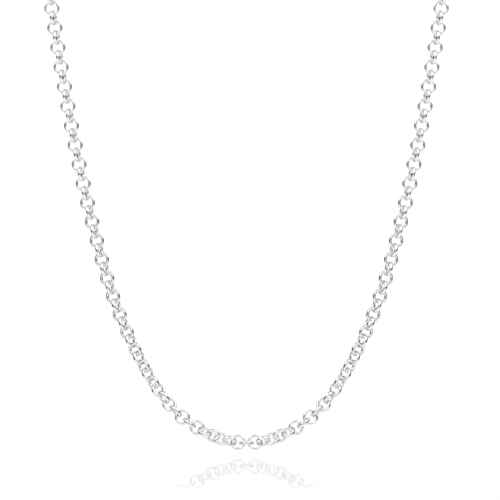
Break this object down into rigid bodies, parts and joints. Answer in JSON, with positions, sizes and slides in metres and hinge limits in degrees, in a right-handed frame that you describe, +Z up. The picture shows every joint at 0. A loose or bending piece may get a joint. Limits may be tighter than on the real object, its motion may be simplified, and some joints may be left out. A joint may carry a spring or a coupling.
{
  "type": "rolo chain necklace",
  "caption": "Closed necklace of round links of flattened wire, each set across the one before it, hung from the nape with a small hook clasp there.",
  "frame": {"origin": "middle of the nape, where the loop rests on the back of the neck and is clasped", "axes": "+Z up, +X towards the wearer's left, and the hanging front of the chain faces -Y"},
  "size_m": [0.1162, 0.0607, 0.1614],
  "materials": {
    "silver": "brightly polished silver"
  },
  "bodies": {
    "root": {"chain_left": "silver", "chain_right": "silver", "clasp_ring": "silver", "end_ring": "silver", "clasp": "silver"}
  },
  "joints": []
}
